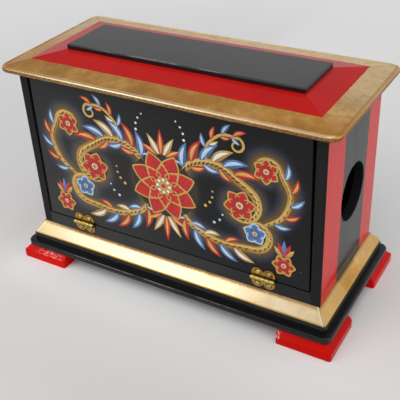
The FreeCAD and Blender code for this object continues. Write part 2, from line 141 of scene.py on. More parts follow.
def length_of(tree, a, b):
    """Length of the vector (a, b)."""
    return calc(tree, "SQRT", plus(tree, times(tree, a, a), times(tree, b, b)))


def between(tree, value, low, high, to_low=0.0, to_high=1.0):
    """Smooth step of value from low to high."""
    node = tree.nodes.new("ShaderNodeMapRange")
    node.interpolation_type = "SMOOTHSTEP"
    for index, item in enumerate((value, low, high, to_low, to_high)):
        feed(tree, node.inputs[index], item)
    return node.outputs[0]


def window(tree, value, rise, fall):
    """1 inside and 0 outside: a smooth step up over rise and down over fall."""
    return times(tree, between(tree, value, *rise), between(tree, value, *fall, 1.0, 0.0))


def mixed(tree, share, a, b):
    """Colour a turned towards b by share."""
    node = tree.nodes.new("ShaderNodeMix")
    node.data_type = "RGBA"
    feed(tree, node.inputs[0], share)
    feed(tree, node.inputs[6], a)
    feed(tree, node.inputs[7], b)
    return node.outputs[2]


def layered(tree, colour, *layers):
    """The colour under layers of paint, each given as its share and its colour."""
    for share, paint in layers:
        colour = mixed(tree, share, colour, paint)
    return colour


def ramp(tree, value, stops):
    """Colour ramp through pairs of a place and a colour."""
    node = tree.nodes.new("ShaderNodeValToRGB")
    band = node.color_ramp
    while len(band.elements) < len(stops):
        band.elements.new(0.5)
    for element, (at, colour) in zip(band.elements, stops):
        element.position = at
        element.color = (*colour, 1.0)
    feed(tree, node.inputs[0], value)
    return node.outputs[0]


def axes_of(tree, vector):
    node = tree.nodes.new("ShaderNodeSeparateXYZ")
    feed(tree, node.inputs[0], vector)
    return node.outputs


def bumped(tree, height, strength, depth):
    node = tree.nodes.new("ShaderNodeBump")
    node.inputs["Strength"].default_value = strength
    node.inputs["Distance"].default_value = depth
    feed(tree, node.inputs["Height"], height)
    return node.outputs[0]


def dress(shader, **sockets):
    """Feeds the named shader sockets; underscores stand for spaces."""
    for name, value in sockets.items():
        feed(shader.id_data, shader.inputs[name.replace("_", " ")], value)


# Lacquers
RED = (0.475, 0.005, 0.004)
RED_DEEP = (0.42, 0.004, 0.003)
RED_END = (0.78, 0.012, 0.008)
RED_END_DEEP = (0.64, 0.008, 0.005)
RED_FOOT = (0.67, 0.005, 0.002)
RED_FOOT_DEEP = (0.60, 0.004, 0.002)
# Front right foot: painted shade
RED_FOOT_SHADED = (0.50, 0.003, 0.001)
# Spots on the front left foot's bevel: painted highlight
RED_PAINTED_GLINT = (0.86, 0.60, 0.57)
BARE_CHIP = (0.80, 0.76, 0.74)
BLACK = (0.0060, 0.0060, 0.0066)
BLACK_WORN = (0.0120, 0.0118, 0.0122)
# Pale grey: brush streaks, and painted reflection and painted highlight lines on black lacquer
PALE_GREY = (0.50, 0.485, 0.475)
SCUFF = (0.40, 0.40, 0.39)

# Gold leaf: dark, mid and pale tones, then single tones
LEAF_WARM = ((0.43, 0.190, 0.040), (0.58, 0.285, 0.066), (0.72, 0.420, 0.134))
LEAF_SIDE = ((0.44, 0.220, 0.048), (0.58, 0.310, 0.078), (0.71, 0.440, 0.155))
# Paler leaf of the front length: painted sheen
LEAF_FRONT_SHEEN = ((0.79, 0.600, 0.345), (0.87, 0.700, 0.475), (0.94, 0.800, 0.610))
LEAF_PALER = (0.74, 0.59, 0.35)
# Bead: painted highlight
LEAF_BEAD_HIGHLIGHT = (0.80, 0.70, 0.48)
# Far beads: painted reflection
LEAF_FAR_SHEEN = (0.86, 0.80, 0.70)
# Middle tone: painted shade at the front length's ends, and a paler right length
LEAF_MIDDLE_TONE = (0.68, 0.50, 0.245)
LEAF_RIM = (0.50, 0.290, 0.035)
# Line beside the mitres: painted highlight
LEAF_MITRE_HIGHLIGHT = (0.96, 0.86, 0.62)
BOLE = (0.23, 0.115, 0.034)
BOLE_JOINT = (0.30, 0.16, 0.05)
# Step between bevel and bead: painted shade
CREASE_SHADE = (0.22, 0.11, 0.03)
BOLE_FLECK = (0.17, 0.085, 0.028)

# Hinge brass
BRASS, BRASS_STAIN = (0.52, 0.290, 0.050), (0.28, 0.145, 0.024)
# Knuckles: painted highlight; darkest brass: painted shade, also used for the dark joints
BRASS_HIGHLIGHT, BRASS_SHADE_AND_JOINT = (0.62, 0.480, 0.170), (0.055, 0.028, 0.008)

BRUSH_DEPTH = 0.12 * MM
LEAF_DEPTH = 0.14 * MM


def brush_lines(tree, vector, along):
    """Streaks left by the brush: noise drawn out along one axis."""
    scale = [420.0, 420.0, 420.0]
    scale["xyz".index(along)] = 9.0
    return noise(tree, stretched(tree, vector, scale), 1.0, 4.0, 0.6)


def leaf_colour(tree, vector, dark, mid, pale, wear=1.0):
    """Gold leaf: cloudy tone, crisp-edged laps of a second leaf, rubbed patches and fine specks."""
    cloud = noise(tree, vector, 34.0, 4.0, 0.6, 0.4)
    lap = noise(tree, vector, 24.0, 1.0, 0.4, 1.2)
    rub = noise(tree, vector, 170.0, 5.0, 0.65, 0.8)
    speck = noise(tree, vector, 1500.0, 2.0, 0.5)
    tone = ramp(tree, cloud, [(0.30, dark), (0.5, mid), (0.72, pale)])
    tone = mixed(tree, between(tree, lap, 0.535, 0.55, 0.0, 0.30 * wear), tone, dark)
    tone = mixed(tree, between(tree, rub, 0.56, 0.72, 0.0, 0.40 * wear), tone, dark)
    return mixed(tree, between(tree, speck, 0.58, 0.74, 0.0, 0.40), tone, pale), cloud, rub


def black_finish(name, along, rough, worn, gleam, ridge=0.10, grey_lift=0.0, grey_lift_right=None):
    """Black brushing lacquer with faint streaks and an even grey lift, which may change towards the
    right.
    """
    material, tree, shader, spot = tree_of(name)
    lines = brush_lines(tree, spot, along)
    cloud = noise(tree, spot, 22.0, 3.0)
    colour = mixed(tree, between(tree, lines, 0.35, 0.75, 0.0, worn), BLACK, BLACK_WORN)
    if grey_lift_right is not None:
        grey_lift = between(tree, axes_of(tree, spot)[0], 0.0, 120 * MM, grey_lift, grey_lift_right)
    colour = mixed(tree, grey_lift, colour, PALE_GREY)
    gloss = between(tree, cloud, 0.3, 0.7, rough - 0.05, rough + 0.05)
    gloss = plus(tree, gloss, times(tree, lines, 0.06))
    dress(shader, Base_Color=colour, Roughness=gloss, Specular_IOR_Level=gleam,
          Normal=bumped(tree, lines, ridge, BRUSH_DEPTH))
    return material


def painted_highlight_lines(material, piece, offs, reach, share):
    """Adds fine painted highlight lines to a black finish: each lies its off behind the piece's front
    edge, above the underside, and fades out at both ends of reach along x."""
    tree, shader, under, spot = reopened(material)
    x, y, z = axes_of(tree, spot)
    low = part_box(piece)[0]
    start, end = reach
    fade = 20 * MM
    broken = noise(tree, stretched(tree, spot, (45.0, 900.0, 0.0)), 1.0, 3.0)
    stretch = window(tree, x, (start - fade, start + fade), (end - fade, end + fade))
    above = between(tree, z, low.z + 2 * MM, low.z + 3 * MM)
    shown = times(tree, stretch, above, between(tree, broken, 0.42, 0.56))
    for off in offs:
        from_line = size_of(tree, minus(tree, y, low.y + off))
        line = between(tree, from_line, 0.1 * MM, 0.3 * MM, share, 0.0)
        under = mixed(tree, times(tree, line, shown), under, PALE_GREY)
    feed(tree, shader.inputs["Base Color"], under)


def red_finish(name, along, rough, gleam):
    """Red gloss lacquer of the feet: painted shade on the front right foot, painted highlights in spots
    along the front left foot's bevel, and a chipped corner on the front right foot."""
    material, tree, shader, spot = tree_of(name)
    x, y, z = axes_of(tree, spot)
    left_low, left_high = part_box("foot_front_left")
    right_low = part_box("foot_front_right")[0]
    behind = minus(tree, y, left_low.y)
    lines = brush_lines(tree, spot, along)
    cloud = noise(tree, spot, 30.0, 3.0)
    colour = mixed(tree, between(tree, cloud, 0.3, 0.7), RED_FOOT_DEEP, RED_FOOT)
    # Painted shade: the front right foot is darker than the other feet
    on_right = between(tree, x, -100 * MM, 120 * MM, 0.0, 0.85)
    right_foot_shade = times(tree, on_right, between(tree, y, -30 * MM, 30 * MM, 1.0, 0.0))
    # Painted highlights in spots along the front left foot's bevel
    on_bevel = window(tree, behind, (0.4 * MM, 1.4 * MM), (4.1 * MM, 5.1 * MM))
    in_light = window(tree, x, (left_low.x + 13 * MM, left_low.x + 29 * MM),
                      (left_high.x - 8 * MM, left_high.x - 2 * MM))
    ripple = noise(tree, stretched(tree, spot, (330.0, 900.0, 900.0)), 1.0, 3.0)
    painted_glint = times(tree, in_light, on_bevel, between(tree, z, 7.2 * MM, 8 * MM))
    painted_glint = times(tree, painted_glint, between(tree, ripple, 0.50, 0.60, 0.0, 0.75))
    from_inner = minus(tree, x, right_low.x)
    chip = window(tree, from_inner, (-17 * MM, -7 * MM), (1 * MM, 6 * MM))
    chip = times(tree, chip, between(tree, behind, 1.6 * MM, 5.6 * MM, 1.0, 0.0))
    chip = times(tree, chip, between(tree, z, 4.5 * MM, 6.5 * MM))
    chip = times(tree, chip, between(tree, noise(tree, spot, 700.0, 3.0), 0.54, 0.60))
    colour = layered(tree, colour, (right_foot_shade, RED_FOOT_SHADED), (painted_glint, RED_PAINTED_GLINT), (chip, BARE_CHIP))
    gloss = plus(tree, between(tree, cloud, 0.3, 0.7, rough, rough + 0.06), times(tree, lines, 0.05))
    peel = plus(tree, lines, times(tree, noise(tree, spot, 330.0, 3.0), 5.0))
    dress(shader, Base_Color=colour, Roughness=gloss, Specular_IOR_Level=gleam,
          Normal=bumped(tree, peel, 0.30, BRUSH_DEPTH))
    return material


def gold_finish(name, leaf, rough, wear=1.0, relief=1.0, sheen_falloff_ends=0.0):
    """Gilt moulding: leaf with darker rims, its ground worn through along the top edge, painted shade at
    both ends of the front length where the painted sheen of its pale leaf falls off, a paler right length
    away from its middle, and dark joints at the mitres with a painted highlight line beside them."""
    material, tree, shader, spot = tree_of(name)
    x, y, z = axes_of(tree, spot)
    low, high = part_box("base_moulding_front")
    colour, cloud, rub = leaf_colour(tree, spot, *leaf, wear)
    ragged = plus(tree, z, times(tree, noise(tree, spot, 800.0, 3.0), 2.6 * MM))
    worn_top = (high.z - 0.3 * MM, high.z + 0.3 * MM)
    rim = between(tree, z, low.z + 1.7 * MM, low.z + 2.4 * MM, 0.95, 0.0)
    rim = largest(tree, rim, between(tree, ragged, high.z - 1.4 * MM, high.z - 0.4 * MM, 0.0, 0.8))
    patch = between(tree, noise(tree, spot, 75.0, 4.0, 0.6, 0.8), 0.42, 0.56, 0.25, 1.0)
    # Painted shade: the front length's leaf turns to the middle tone towards both ends, where its sheen
    # falls off
    sheen_falloff = times(tree, between(tree, x, 0.0, 100 * MM, 0.0, 0.55 * sheen_falloff_ends), patch)
    sheen_falloff = largest(tree, sheen_falloff, between(tree, x, -152 * MM, -100 * MM, sheen_falloff_ends, 0.0))
    sway = plus(tree, y, times(tree, minus(tree, cloud, 0.5), 20 * MM))
    lap = window(tree, sway, (-21.5 * MM, -20 * MM), (18.5 * MM, 20.5 * MM))
    beside = times(tree, minus(tree, 0.28, lap, True), between(tree, x, 145 * MM, 150 * MM))
    off_mitre = minus(tree, minus(tree, size_of(tree, x), size_of(tree, y)), high.x + low.y)
    joint = between(tree, size_of(tree, off_mitre), 0.2 * MM, 0.6 * MM, 0.75, 0.0)
    # Painted highlight: a pale line beside each mitre joint
    lip = between(tree, size_of(tree, plus(tree, off_mitre, 1.2 * MM)), 0.3 * MM, 0.8 * MM, 0.7, 0.0)
    colour = layered(tree, colour, (rim, LEAF_RIM), (between(tree, ragged, *worn_top), BOLE),
                     (sheen_falloff, LEAF_MIDDLE_TONE), (beside, LEAF_MIDDLE_TONE), (joint, BOLE_JOINT), (lip, LEAF_MITRE_HIGHLIGHT))
    gloss = between(tree, cloud, 0.25, 0.75, rough - 0.05, rough + 0.09)
    gloss = plus(tree, gloss, between(tree, x, 60 * MM, 130 * MM, 0.0, 0.25 * sheen_falloff_ends))
    grain = plus(tree, noise(tree, spot, 1300.0, 4.0), times(tree, rub, 0.7 * relief))
    shine = between(tree, ragged, *worn_top, 0.92, 0.2)
    dress(shader, Base_Color=colour, Metallic=shine, Roughness=gloss,
          Normal=bumped(tree, grain, 0.04 + 0.12 * relief, LEAF_DEPTH))
    return material


LID_CORNER = 11 * MM
LID_BAND = 22.1 * MM
LID_BEAD = LID_BAND - 3.6 * MM


def lid_finish(name):
    """Red lid with a gilt border and bead; the underside is black. The bead carries painted highlight
    along the front, painted reflection along the back and left end, and painted shade along the right end
    and in the step between bevel and bead there.

    edge is zero where the border begins and LID_BAND at the lid's edge, and follows its rounded
    corners: the length of the part of (x, y) past the corner's centre, plus the straight part."""
    material, tree, shader, spot = tree_of(name)
    x, y, z = axes_of(tree, spot)
    low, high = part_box("lid_board")
    over_x = minus(tree, size_of(tree, x), high.x - LID_BAND)
    over_y = minus(tree, size_of(tree, y), high.y - LID_BAND)
    past_x = minus(tree, over_x, LID_BAND - LID_CORNER)
    past_y = minus(tree, over_y, LID_BAND - LID_CORNER)
    bend = length_of(tree, largest(tree, past_x, 0.0), largest(tree, past_y, 0.0))
    straight = calc(tree, "MINIMUM", largest(tree, past_x, past_y), 0.0)
    edge = plus(tree, plus(tree, bend, straight), LID_BAND - LID_CORNER)
    wander = times(tree, minus(tree, noise(tree, spot, 260.0, 4.0, 0.6), 0.5), 1.6 * MM)
    gilt = between(tree, plus(tree, edge, wander), -0.15 * MM, 0.15 * MM)

    leaf, cloud, rub = leaf_colour(tree, spot, *LEAF_WARM)
    mottle = noise(tree, spot, 115.0, 6.0, 0.68, 0.5)
    dark = between(tree, mottle, 0.46, 0.66, 0.0, 0.55)
    at_end = between(tree, minus(tree, over_x, over_y), -2.5 * MM, 2.5 * MM)
    at_side = minus(tree, 1.0, at_end)
    on_left = between(tree, x, -10 * MM, 10 * MM, 1.0, 0.0)
    back = plus(tree, y, times(tree, on_left, -28 * MM))
    rear = times(tree, at_side, between(tree, y, -10 * MM, 10 * MM))
    away = largest(tree, times(tree, at_end, between(tree, back, -64 * MM, 15 * MM)), rear)
    # Paler leaf along the back and towards the back of both ends, in mottled patches
    paler = times(tree, away, between(tree, mottle, 0.34, 0.70, 0.85, 0.45))

    past_bead = minus(tree, edge, LID_BEAD)
    rise = minus(tree, z, low.z)
    bead = between(tree, past_bead, 0.0, 0.6 * MM)
    far_side = largest(tree, rear, times(tree, at_end, on_left))
    right_end = minus(tree, at_end, far_side, True)
    near_bead = times(tree, bead, at_side, between(tree, x, -165 * MM, -70 * MM, 0.25, 1.0))
    # Painted highlight along the upper part of the front bead
    painted_highlight = times(tree, near_bead, between(tree, x, 0.0, 140 * MM, 0.60, 0.32))
    painted_highlight = times(tree, painted_highlight, between(tree, rise, 2.6 * MM, 4 * MM, 0.25, 1.0))
    # Painted shade along the right end's bead
    right_bead_shade = times(tree, bead, right_end, 0.6)
    # Painted reflection along the beads of the back and the left end
    far_bead_sheen = times(tree, bead, far_side, between(tree, rear, 0.0, 1.0, 0.25, 0.85))
    # Painted shade in the step between bevel and bead at the right end
    crease = between(tree, size_of(tree, past_bead), 0.2 * MM, 1 * MM, 0.30, 0.0)
    crease = times(tree, crease, right_end)
    fleck = between(tree, noise(tree, spot, 620.0, 4.0, 0.65), 0.40, 0.58, 0.20, 0.92)
    fleck = times(tree, fleck, between(tree, past_bead, 0.6 * MM, 1.4 * MM))
    fleck = times(tree, fleck, between(tree, rise, 3.2 * MM, 4.6 * MM, 1.0, 0.0))
    leaf = layered(tree, leaf, (dark, LEAF_WARM[0]), (paler, LEAF_PALER), (painted_highlight, LEAF_BEAD_HIGHLIGHT),
                   (right_bead_shade, LEAF_WARM[0]), (far_bead_sheen, LEAF_FAR_SHEEN), (crease, CREASE_SHADE),
                   (fleck, BOLE_FLECK))

    lines = brush_lines(tree, spot, "x")
    red = mixed(tree, between(tree, noise(tree, spot, 26.0, 3.0), 0.3, 0.7), RED_DEEP, RED)
    over = between(tree, rise, 0.2 * MM, 0.4 * MM)
    colour = mixed(tree, over, BLACK, mixed(tree, gilt, red, leaf))
    gloss_red = 0.22
    polish = times(tree, near_bead, between(tree, x, 0.0, 140 * MM, 0.14, 0.0))
    gloss_leaf = minus(tree, between(tree, cloud, 0.25, 0.75, 0.28, 0.44), polish)
    gloss = plus(tree, times(tree, gilt, minus(tree, gloss_leaf, gloss_red)), gloss_red)
    grain = plus(tree, noise(tree, spot, 700.0, 4.0), times(tree, rub, 0.7))
    height = plus(tree, times(tree, grain, gilt), times(tree, lines, 0.12))
    dress(shader, Base_Color=colour, Metallic=times(tree, gilt, over, 0.90), Roughness=gloss,
          Specular_IOR_Level=0.11, Normal=bumped(tree, height, 0.12, BRUSH_DEPTH))
    return material


HOLE_CENTRE = (2 * MM, 119.7 * MM)
HOLE_RADIUS = 25.8 * MM
STRIPE = (-24.7 * MM, 32.7 * MM)
STRIPE_FOOT, STRIPE_LEAN = 60 * MM, 0.010
END_FRONT, END_REAR = -60.2 * MM, 60.6 * MM
END_INNER, END_FACE = 148.8 * MM, 149.6 * MM
PAINT_EDGE = 0.3 * MM


def end_finish(name):
    """End board: red, with a black middle stripe, black edges and a black hole wall; grey brush
    streaks on the stripe, and a faint grey on the front edges that is painted reflection.
    """
    material, tree, shader, spot = tree_of(name)
    x, y, z = axes_of(tree, spot)
    lines = brush_lines(tree, spot, "z")
    sway = times(tree, minus(tree, noise(tree, spot, 120.0, 3.0), 0.5), 1 * MM)
    run = plus(tree, y, sway)
    lean = minus(tree, run, times(tree, minus(tree, z, STRIPE_FOOT), STRIPE_LEAN))
    stripe = times(tree, between(tree, lean, STRIPE[0], STRIPE[0] + PAINT_EDGE),
                   between(tree, run, STRIPE[1] - PAINT_EDGE, STRIPE[1], 1.0, 0.0))
    front = between(tree, run, END_FRONT, END_FRONT + PAINT_EDGE, 1.0, 0.0)
    rear = between(tree, run, END_REAR, END_REAR + PAINT_EDGE)
    inner = between(tree, size_of(tree, x), END_INNER, END_FACE, 1.0, 0.0)
    from_hole = length_of(tree, minus(tree, y, HOLE_CENTRE[0]), minus(tree, z, HOLE_CENTRE[1]))
    rim = minus(tree, from_hole, times(tree, noise(tree, spot, 330.0, 2.0), 3.4 * MM))
    torn = between(tree, rim, HOLE_RADIUS - 0.8 * MM, HOLE_RADIUS - 0.5 * MM, 1.0, 0.0)
    hidden = largest(tree, minus(tree, inner, front, True), torn)
    red = mixed(tree, between(tree, lines, 0.3, 0.75), RED_END_DEEP, RED_END)
    # Grey brush streaks on the stripe; the faint grey on the front edges is painted reflection
    shown = largest(tree, stripe, times(tree, front, 0.12))
    streak = times(tree, shown, between(tree, lines, 0.30, 0.70, 0.010, 0.095))
    black = mixed(tree, times(tree, streak, minus(tree, 1.0, hidden)), BLACK, PALE_GREY)
    colour = mixed(tree, largest(tree, stripe, front, rear, inner), red, black)
    gloss = between(tree, noise(tree, spot, 26.0, 3.0), 0.3, 0.7, 0.08, 0.13)
    for layer, rough in ((lines, 0.06), (hidden, 0.6), (front, 0.4)):
        gloss = plus(tree, gloss, times(tree, layer, rough))
    dress(shader, Base_Color=colour, Roughness=gloss, Specular_IOR_Level=0.19,
          Normal=bumped(tree, lines, 0.14, BRUSH_DEPTH))
    return material


def metal_finish(name, bright, dull, rough):
    """Worked metal with light tarnish and fine scratches."""
    material, tree, shader, spot = tree_of(name)
    stain = noise(tree, spot, 260.0, 4.0, 0.6, 0.5)
    scratch = noise(tree, stretched(tree, spot, (2600.0, 300.0, 300.0)), 1.0, 2.0)
    colour = mixed(tree, between(tree, stain, 0.42, 0.72), bright, dull)
    gloss = plus(tree, between(tree, stain, 0.3, 0.7, rough, rough + 0.12), times(tree, scratch, 0.08))
    dress(shader, Base_Color=colour, Metallic=1.0, Roughness=gloss,
          Normal=bumped(tree, scratch, 0.05, 0.05 * MM))
    return material


HINGE_X, HINGE_Z = 97 * MM, 51.8 * MM
SCREW_X, SCREW_Z = 5.3 * MM, 6 * MM
SCREW_HEAD, SCREW_SHADE_REACH = 2.2 * MM, 3.6 * MM
KNUCKLE = 4.56 * MM


def hinge_finish(name):
    """Hinge brass: warm stained plates, knuckles brightened as painted highlight, painted shade round the
    screw heads, along the knuckle line and under the knuckles, and dark joints between the knuckles.
    """
    material, tree, shader, spot = tree_of(name)
    x, y, z = axes_of(tree, spot)
    stain = noise(tree, spot, 260.0, 4.0, 0.6, 0.5)
    colour = mixed(tree, between(tree, stain, 0.42, 0.72), BRASS, BRASS_STAIN)
    # Painted highlight: the knuckles, which stand out furthest, are brighter
    painted_highlight = between(tree, size_of(tree, y), 62.6 * MM, 63 * MM)
    colour = mixed(tree, painted_highlight, colour, BRASS_HIGHLIGHT)
    off_x = size_of(tree, minus(tree, size_of(tree, x), HINGE_X))
    off_z = size_of(tree, minus(tree, z, HINGE_Z))
    from_screw = length_of(tree, minus(tree, off_x, SCREW_X), minus(tree, off_z, SCREW_Z))
    # Painted shade round each screw head and along the knuckle line on the plates
    shade_and_joint = between(tree, from_screw, SCREW_HEAD, SCREW_SHADE_REACH, 0.95, 0.0)
    shade_and_joint = largest(tree, shade_and_joint, between(tree, off_z, SCREW_HEAD, SCREW_SHADE_REACH, 0.75, 0.0))
    shade_and_joint = times(tree, shade_and_joint, minus(tree, 1.0, painted_highlight))
    # On the knuckles: dark joints between them and painted shade along their lower halves
    knuckle = calc(tree, "FRACT", calc(tree, "DIVIDE", plus(tree, off_x, KNUCKLE / 2), KNUCKLE))
    joint = between(tree, size_of(tree, minus(tree, knuckle, 0.5)), 0.42, 0.47, 0.0, 0.8)
    under = between(tree, z, HINGE_Z - 1.2 * MM, HINGE_Z + 0.2 * MM, 0.75, 0.0)
    shade_and_joint = largest(tree, shade_and_joint, times(tree, painted_highlight, largest(tree, joint, under)))
    colour = mixed(tree, shade_and_joint, colour, BRASS_SHADE_AND_JOINT)
    gloss = plus(tree, between(tree, stain, 0.3, 0.7, 0.18, 0.30), times(tree, shade_and_joint, 0.2))
    dress(shader, Base_Color=colour, Metallic=1.0, Roughness=gloss,
          Normal=bumped(tree, stain, 0.05, 0.08 * MM))
    return material


def paint_finish(name, colour, shade, rough):
    """Even enamel on turned wood, a little deeper in places."""
    material, tree, shader, spot = tree_of(name)
    cloud = noise(tree, spot, 90.0, 4.0)
    rings = noise(tree, stretched(tree, spot, (60.0, 60.0, 900.0)), 1.0, 3.0)
    tone = mixed(tree, between(tree, cloud, 0.35, 0.7), colour, shade)
    gloss = plus(tree, times(tree, rings, 0.12), rough - 0.06)
    dress(shader, Base_Color=tone, Roughness=gloss, Normal=bumped(tree, rings, 0.06, 0.1 * MM))
    return material


def coat(material, *names):
    """Gives the named solids one material."""
    for name in names:
        data = nodes[name].data
        data.materials.clear()
        data.materials.append(material)


black_flat = black_finish("black lacquer boards", "x", 0.22, 0.25, 0.23, 0.04)
black_base = black_finish("black gloss base", "x", 0.17, 0.15, 0.32, 0.03)
black_plate = black_finish("black gloss plate", "x", 0.12, 0.3, 0.5)
# Painted highlight lines along the front edges of the base and the plate
painted_highlight_lines(black_base, "base_board", (0.6 * MM,), (-110 * MM, 70 * MM), 0.35)
painted_highlight_lines(black_plate, "lid_plate", (0.6 * MM, 1.7 * MM), (-80 * MM, 50 * MM), 0.5)
steel = metal_finish("drawn steel", (0.58, 0.58, 0.60), (0.34, 0.33, 0.32), 0.28)
coat(black_flat, "back_panel", "door_panel")
coat(black_base, "base_board")
coat(black_plate, "lid_plate")
# The rail's grey lift, strongest at the left and fading towards the right, is painted reflection
coat(black_finish("black lacquer rail", "x", 0.22, 0.25, 0.28, 0.04, 0.045, 0.004), "bottom_rail")
coat(black_finish("flat black inside", "z", 0.62, 0.5, 0.30, 0.10, 0.02),
     "floor_panel", "door_stop_left", "door_stop_right", "spring_seat")
coat(red_finish("red gloss feet", "x", 0.10, 0.06),
     *[n for n in nodes if n.startswith("foot_") and n != "foot_screws"])
coat(gold_finish("gilt moulding leaf", LEAF_SIDE, 0.33),
     "base_moulding_left", "base_moulding_right", "base_moulding_rear")
# The front length's paler leaf is painted sheen
coat(gold_finish("gilt moulding leaf with painted sheen", LEAF_FRONT_SHEEN, 0.23, 0.35, 0.10, 0.65), "base_moulding_front")
coat(lid_finish("lid red and gilt"), "lid_board")
coat(end_finish("striped end boards"), "end_board_left", "end_board_right")
coat(hinge_finish("hinge brass"), *[n for n in nodes if "leaf" in n or "hinge_pin" in n])
coat(metal_finish("bright screw brass", (0.70, 0.56, 0.21), (0.46, 0.33, 0.10), 0.12),
     *[n for n in nodes if n.endswith("leaf_screws")])
coat(steel, "foot_screws", "base_screws", "seat_screws", "jack_spring")
coat(steel, "door_magnets", "lid_magnets", "door_strikes", "lid_strikes")
coat(paint_finish("figure red", (0.50, 0.02, 0.015), (0.40, 0.01, 0.01), 0.28), "jack_torso", "jack_nose")
coat(paint_finish("figure black", (0.02, 0.02, 0.022), (0.03, 0.03, 0.03), 0.25), "jack_hat")
coat(paint_finish("figure cream", (0.80, 0.74, 0.60), (0.72, 0.64, 0.48), 0.45), "jack_ruff")
coat(paint_finish("figure wood", (0.72, 0.50, 0.31), (0.66, 0.43, 0.25), 0.35), "jack_head")
coat(paint_finish("figure gold", (0.62, 0.40, 0.12), (0.50, 0.30, 0.08), 0.32), "hat_bobble")


# Painted work on the door: every stroke is a thin raised ribbon of enamel on the door's front face.
door_low, door_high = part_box("door_panel")
DOOR_FACE = door_low.y
head_low, head_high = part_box("jack_head")
HEAD_RADIUS = (head_high.x - head_low.x) / 2
nose_low, nose_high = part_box("jack_nose")
HEAD_CENTRE = ((head_low.x + head_high.x) / 2, (head_low.y + head_high.y) / 2,
               (nose_low.z + nose_high.z) / 2)
# How far each layer of paint stands proud, in millimetres
LIFT = {"fill": 0.05, "over": 0.16, "bed": 0.20, "petal": 0.24, "line": 0.46, "dot": 0.50}
strokes = {}


def curve_through(points, count):
    """Catmull-Rom curve through the points, sampled evenly in its parameter."""
    p = np.asarray(points, float)
    p = np.vstack([2 * p[0] - p[1], p, 2 * p[-1] - p[-2]])
    t = np.linspace(0.0, len(p) - 3 - 1e-9, count)
    k = t.astype(int)
    f = (t - k)[:, None]
    a, b, c, d = p[k], p[k + 1], p[k + 2], p[k + 3]
    bend = 2 * a - 5 * b + 4 * c - d
    twist = 3 * b - a - 3 * c + d
    return 0.5 * (2 * b + (c - a) * f + bend * f ** 2 + twist * f ** 3)


def on_door(x, z, rise):
    """Point of the door's front face at x, z, rise proud of it, all in millimetres."""
    return np.stack([x, DOOR_FACE / MM - rise, z], -1) * MM


def on_head(east, north, rise):
    """Point of the round head at east and north degrees from its front, rise proud of it."""
    a, b = np.radians(east), np.radians(north)
    out = np.stack([np.sin(a) * np.cos(b), -np.cos(a) * np.cos(b), np.sin(b)], -1)
    return np.array(HEAD_CENTRE) + out * (HEAD_RADIUS + rise[..., None] * MM)


def brush(colour, path, width, layer, tone, crown=0.10, across=5, onto=on_door):
    """Ribbon of paint along a path that lies on a surface.

    Station i is the path point plus s times the half-width along the path's normal, s from -1 to 1.
    The paint stands lift + crown * (1 - s^2) proud, less on strokes under 1.2 mm wide. Tone runs from
    0, dark, to 1, light, and rises a little across the stroke."""
    path = np.asarray(path, float)
    way = np.gradient(path, axis=0)
    way /= np.linalg.norm(way, axis=1)[:, None] + 1e-12
    normal = np.stack([-way[:, 1], way[:, 0]], 1)
    half = np.broadcast_to(np.asarray(width, float), len(path)) / 2
    s = np.linspace(-1.0, 1.0, across)
    flat = path[:, None, :] + normal[:, None, :] * (half[:, None] * s)[:, :, None]
    rise = LIFT[layer] + crown * (1 - s ** 2)[None, :] * np.minimum(1.0, half / 0.6)[:, None]
    grid = onto(flat[..., 0], flat[..., 1], rise)
    tone = np.asarray(tone, float).reshape(-1, 1) if np.ndim(tone) else tone
    shade = np.broadcast_to(tone, grid.shape[:2])
    strokes.setdefault(colour, []).append((grid, np.clip(shade + 0.18 * s[None, :], 0.0, 1.0)))


def taper(count, full, start, end, belly=0.5):
    """Stroke width: rises to full at belly and falls again in two sine quarters; start and end are the
    shares of full at its ends."""
    t = np.linspace(0.0, 1.0, count)
    up = start + (1 - start) * np.sin(np.clip(t / belly, 0, 1) * math.pi / 2)
    fall = end + (1 - end) * np.cos(np.clip((t - belly) / (1 - belly), 0, 1) * math.pi / 2)
    return full * np.where(t < belly, up, fall)


def unit(degrees):
    """Unit vector at an angle counted from x towards z, or one for each of many angles."""
    angle = np.radians(degrees)
    return np.stack([np.cos(angle), np.sin(angle)], -1)


def comma(colour, root, heading, length, width, bend, layer, tone):
    """Comma stroke: leaves root along heading in degrees and swings round by bend degrees."""
    count = 18
    t = np.linspace(0.0, 1.0, count)
    step = unit(heading + bend * t) * (length / (count - 1))
    path = np.asarray(root, float) + np.vstack([[0, 0], np.cumsum(step, 0)[:-1]])
    brush(colour, path, taper(count, width, 0.25, 0.0, 0.42), layer, np.linspace(*tone, count))


def petal(colour, root, heading, length, width, rim, tone, crown):
    """Broad petal: half-width = width / 2 * sin(pi * t^0.8)^0.85 at share t, with a rim line round its
    outer part."""
    count, bare = 22, 6
    t = np.linspace(0.0, 1.0, count)
    out = unit(heading)
    side = np.array([-out[1], out[0]])
    spine = np.asarray(root, float) + t[:, None] * length * out
    half = width / 2 * np.sin(math.pi * t ** 0.8) ** 0.85
    brush(colour, spine, 2 * half + 0.02, "petal", np.linspace(*tone, count), crown, 7)
    left, right = spine + half[:, None] * side, spine - half[:, None] * side
    edge = np.vstack([left[bare:], right[bare:][::-1]])
    brush(rim, edge, 1.0 + 0.5 * np.sin(np.linspace(0, math.pi, len(edge))), "line", 0.6, 0.09)


